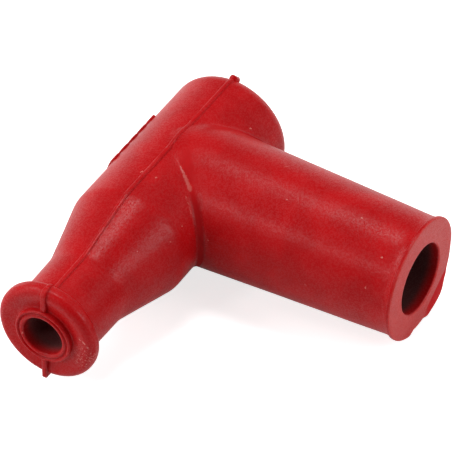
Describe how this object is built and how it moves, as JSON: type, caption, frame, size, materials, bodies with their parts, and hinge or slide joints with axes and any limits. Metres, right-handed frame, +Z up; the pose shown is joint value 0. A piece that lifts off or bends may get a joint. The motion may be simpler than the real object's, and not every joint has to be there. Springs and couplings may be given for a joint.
{
  "type": "spark plug cap",
  "caption": "Right-angle silicone spark plug cap: tapered plug tube, closed lead tube necked down to a flanged gland, and a brass socket terminal with a lead screw inside.",
  "frame": {"origin": "centre of the bounding box's bottom face, on the surface that the cap lies on", "axes": "+X along the lead tube towards its closed end, -Y along the plug tube towards its mouth, +Z up"},
  "size_m": [0.0526, 0.0484, 0.02],
  "materials": {
    "red_silicone": "satin",
    "brass": "turned",
    "plated_steel": "plated"
  },
  "bodies": {
    "root": {"boot": "red_silicone", "terminal_body": "brass", "lead_screw": "plated_steel", "snap_ring": "plated_steel"}
  },
  "joints": []
}
